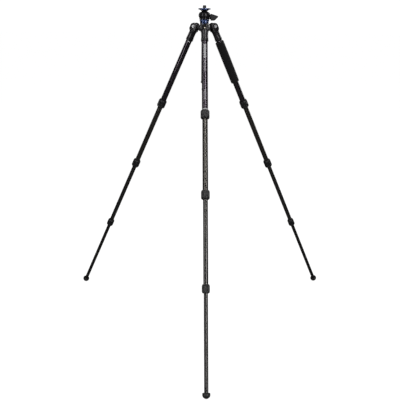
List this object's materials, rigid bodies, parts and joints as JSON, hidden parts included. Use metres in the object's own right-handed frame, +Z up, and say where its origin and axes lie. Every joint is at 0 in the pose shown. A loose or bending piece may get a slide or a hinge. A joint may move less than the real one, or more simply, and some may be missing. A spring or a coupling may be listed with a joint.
{
  "type": "camera tripod",
  "caption": "Extended photo tripod with telescoping legs on hinged crowns, twist locks, ball feet, a centre column and a low levelling ball head.",
  "frame": {"origin": "on the floor, at the centre of the bounding box of the three spread feet", "axes": "+Z up; one leg points along -Y and the other two along 30 and 150 degrees from +X; the head's lock knob points along +X"},
  "size_m": [1.4146, 1.2298, 1.5911],
  "materials": {
    "cast_black": "black semi-gloss powder coat on magnesium castings",
    "leg_tube": "dark grey satin anodised",
    "rubber_black": "matt ribbed rubber",
    "foot_rubber": "matt rubber",
    "crown_ring": "black gloss",
    "tab_metal": "black anodised, with a bright pin",
    "bolt_steel": "dark brushed",
    "foam": "closed-cell foam",
    "shim_plastic": "natural nylon",
    "blue_anodised": "blue anodised, turned",
    "navy_anodised": "dark blue anodised",
    "head_black": "black anodised satin",
    "knob_rubber": "moulded rubber over plastic",
    "stainless": "turned",
    "cap_plastic": "moulded"
  },
  "bodies": {
    "spider": {"spider": "cast_black", "hinge_bolts": "bolt_steel"},
    "front_leg": {"front_leg_crown": "cast_black", "front_crown_ring": "crown_ring", "front_leg_tube_1": "leg_tube"},
    "front_tab": {"front_angle_lock_tab": "tab_metal"},
    "front_lock_1": {"front_twist_lock_1": "rubber_black"},
    "front_section_2": {"front_leg_tube_2": "leg_tube", "front_guide_shims_2": "shim_plastic"},
    "front_lock_2": {"front_twist_lock_2": "rubber_black"},
    "front_section_3": {"front_leg_tube_3": "leg_tube", "front_guide_shims_3": "shim_plastic"},
    "front_lock_3": {"front_twist_lock_3": "rubber_black"},
    "front_section_4": {"front_leg_tube_4": "leg_tube", "front_guide_shims_4": "shim_plastic", "front_foot": "foot_rubber"},
    "right_leg": {"right_leg_crown": "cast_black", "right_crown_ring": "crown_ring", "right_leg_tube_1": "leg_tube", "right_foam_grip": "foam"},
    "right_tab": {"right_angle_lock_tab": "tab_metal"},
    "right_lock_1": {"right_twist_lock_1": "rubber_black"},
    "right_section_2": {"right_leg_tube_2": "leg_tube", "right_guide_shims_2": "shim_plastic"},
    "right_lock_2": {"right_twist_lock_2": "rubber_black"},
    "right_section_3": {"right_leg_tube_3": "leg_tube", "right_guide_shims_3": "shim_plastic"},
    "right_lock_3": {"right_twist_lock_3": "rubber_black"},
    "right_section_4": {"right_leg_tube_4": "leg_tube", "right_guide_shims_4": "shim_plastic", "right_foot": "foot_rubber"},
    "left_leg": {"left_leg_crown": "cast_black", "left_crown_ring": "crown_ring", "left_leg_tube_1": "leg_tube"},
    "left_tab": {"left_angle_lock_tab": "tab_metal"},
    "left_lock_1": {"left_twist_lock_1": "rubber_black"},
    "left_section_2": {"left_leg_tube_2": "leg_tube", "left_guide_shims_2": "shim_plastic"},
    "left_lock_2": {"left_twist_lock_2": "rubber_black"},
    "left_section_3": {"left_leg_tube_3": "leg_tube", "left_guide_shims_3": "shim_plastic"},
    "left_lock_3": {"left_twist_lock_3": "rubber_black"},
    "left_section_4": {"left_leg_tube_4": "leg_tube", "left_guide_shims_4": "shim_plastic", "left_foot": "foot_rubber"},
    "collar": {"column_lock_collar": "blue_anodised"},
    "column": {"centre_column": "leg_tube", "column_top_plate": "head_black", "column_end_cap": "rubber_black", "head_pan_base": "head_black"},
    "hook": {"weight_hook": "stainless"},
    "head": {"head_housing": "head_black"},
    "ball": {"levelling_ball": "head_black"},
    "neck": {"ball_neck": "navy_anodised"},
    "platform": {"camera_platform": "blue_anodised", "camera_screw": "stainless"},
    "cap": {"screw_cap": "cap_plastic"},
    "knob": {"lock_knob": "knob_rubber", "lock_knob_screw": "stainless"}
  },
  "joints": [
    {"name": "front_leg_fold", "type": "hinge", "parent": "spider", "child": "front_leg", "pos_m": [0, 0.14907, 1.49506], "axis": [1, 0, 0], "range_deg": [0, 26.8]},
    {"name": "right_leg_fold", "type": "hinge", "parent": "spider", "child": "right_leg", "pos_m": [0.0433, 0.22407, 1.49506], "axis": [-0.5, 0.866, 0], "range_deg": [0, 26.8]},
    {"name": "left_leg_fold", "type": "hinge", "parent": "spider", "child": "left_leg", "pos_m": [-0.0433, 0.22407, 1.49506], "axis": [-0.5, -0.866, 0], "range_deg": [0, 26.8]},
    {"name": "front_section_2_slide", "type": "slide", "parent": "front_leg", "child": "front_section_2", "axis": [0, 0.4509, 0.8926], "range_m": [0, 0.331]},
    {"name": "front_section_3_slide", "type": "slide", "parent": "front_section_2", "child": "front_section_3", "axis": [0, 0.4509, 0.8926], "range_m": [0, 0.3735]},
    {"name": "front_section_4_slide", "type": "slide", "parent": "front_section_3", "child": "front_section_4", "axis": [0, 0.4509, 0.8926], "range_m": [0, 0.415]},
    {"name": "right_section_2_slide", "type": "slide", "parent": "right_leg", "child": "right_section_2", "axis": [-0.3905, -0.2254, 0.8926], "range_m": [0, 0.331]},
    {"name": "right_section_3_slide", "type": "slide", "parent": "right_section_2", "child": "right_section_3", "axis": [-0.3905, -0.2254, 0.8926], "range_m": [0, 0.3735]},
    {"name": "right_section_4_slide", "type": "slide", "parent": "right_section_3", "child": "right_section_4", "axis": [-0.3905, -0.2254, 0.8926], "range_m": [0, 0.415]},
    {"name": "left_section_2_slide", "type": "slide", "parent": "left_leg", "child": "left_section_2", "axis": [0.3905, -0.2254, 0.8926], "range_m": [0, 0.331]},
    {"name": "left_section_3_slide", "type": "slide", "parent": "left_section_2", "child": "left_section_3", "axis": [0.3905, -0.2254, 0.8926], "range_m": [0, 0.3735]},
    {"name": "left_section_4_slide", "type": "slide", "parent": "left_section_3", "child": "left_section_4", "axis": [0.3905, -0.2254, 0.8926], "range_m": [0, 0.415]},
    {"name": "column_slide", "type": "slide", "parent": "spider", "child": "column", "axis": [0, 0, 1], "range_m": [0, 0.23]},
    {"name": "head_pan", "type": "hinge", "parent": "column", "child": "head", "pos_m": [0, 0.19907, 1.53116], "axis": [0, 0, 1], "continuous": true},
    {"name": "ball_tilt_fore_aft", "type": "hinge", "parent": "head", "child": "ball", "pos_m": [0, 0.19907, 1.54646], "axis": [1, 0, 0], "range_deg": [-10, 10]},
    {"name": "ball_tilt_side", "type": "hinge", "parent": "ball", "child": "neck", "pos_m": [0, 0.19907, 1.54646], "axis": [0, 1, 0], "range_deg": [-10, 10]},
    {"name": "ball_spin", "type": "hinge", "parent": "neck", "child": "platform", "pos_m": [0, 0.19907, 1.54646], "axis": [0, 0, 1], "continuous": true},
    {"name": "lock_knob_turn", "type": "hinge", "parent": "head", "child": "knob", "pos_m": [0.0293, 0.19907, 1.53826], "axis": [1, 0, 0], "range_deg": [-180, 180]},
    {"name": "collar_twist", "type": "hinge", "parent": "spider", "child": "collar", "pos_m": [0, 0.19907, 1.52696], "axis": [0, 0, 1], "range_deg": [0, 120]},
    {"name": "screw_cap_pull", "type": "slide", "parent": "platform", "child": "cap", "axis": [0, 0, 1], "range_m": [0, 0.03]},
    {"name": "hook_pull", "type": "slide", "parent": "column", "child": "hook", "axis": [0, 0, -1], "range_m": [0, 0.01], "stiffness_N_per_m": 500},
    {"name": "front_tab_pull", "type": "slide", "parent": "front_leg", "child": "front_tab", "axis": [0, -0.8926, 0.4509], "range_m": [0, 0.007], "stiffness_N_per_m": 600},
    {"name": "front_lock_1_twist", "type": "hinge", "parent": "front_leg", "child": "front_lock_1", "pos_m": [0, 0.14907, 1.49506], "axis": [0, 0.4509, 0.8926], "range_deg": [0, 120]},
    {"name": "front_lock_2_twist", "type": "hinge", "parent": "front_section_2", "child": "front_lock_2", "pos_m": [0, 0.14907, 1.49506], "axis": [0, 0.4509, 0.8926], "range_deg": [0, 120]},
    {"name": "front_lock_3_twist", "type": "hinge", "parent": "front_section_3", "child": "front_lock_3", "pos_m": [0, 0.14907, 1.49506], "axis": [0, 0.4509, 0.8926], "range_deg": [0, 120]},
    {"name": "right_tab_pull", "type": "slide", "parent": "right_leg", "child": "right_tab", "axis": [0.773, 0.4463, 0.4509], "range_m": [0, 0.007], "stiffness_N_per_m": 600},
    {"name": "right_lock_1_twist", "type": "hinge", "parent": "right_leg", "child": "right_lock_1", "pos_m": [0.0433, 0.22407, 1.49506], "axis": [-0.3905, -0.2254, 0.8926], "range_deg": [0, 120]},
    {"name": "right_lock_2_twist", "type": "hinge", "parent": "right_section_2", "child": "right_lock_2", "pos_m": [0.0433, 0.22407, 1.49506], "axis": [-0.3905, -0.2254, 0.8926], "range_deg": [0, 120]},
    {"name": "right_lock_3_twist", "type": "hinge", "parent": "right_section_3", "child": "right_lock_3", "pos_m": [0.0433, 0.22407, 1.49506], "axis": [-0.3905, -0.2254, 0.8926], "range_deg": [0, 120]},
    {"name": "left_tab_pull", "type": "slide", "parent": "left_leg", "child": "left_tab", "axis": [-0.773, 0.4463, 0.4509], "range_m": [0, 0.007], "stiffness_N_per_m": 600},
    {"name": "left_lock_1_twist", "type": "hinge", "parent": "left_leg", "child": "left_lock_1", "pos_m": [-0.0433, 0.22407, 1.49506], "axis": [0.3905, -0.2254, 0.8926], "range_deg": [0, 120]},
    {"name": "left_lock_2_twist", "type": "hinge", "parent": "left_section_2", "child": "left_lock_2", "pos_m": [-0.0433, 0.22407, 1.49506], "axis": [0.3905, -0.2254, 0.8926], "range_deg": [0, 120]},
    {"name": "left_lock_3_twist", "type": "hinge", "parent": "left_section_3", "child": "left_lock_3", "pos_m": [-0.0433, 0.22407, 1.49506], "axis": [0.3905, -0.2254, 0.8926], "range_deg": [0, 120]}
  ]
}
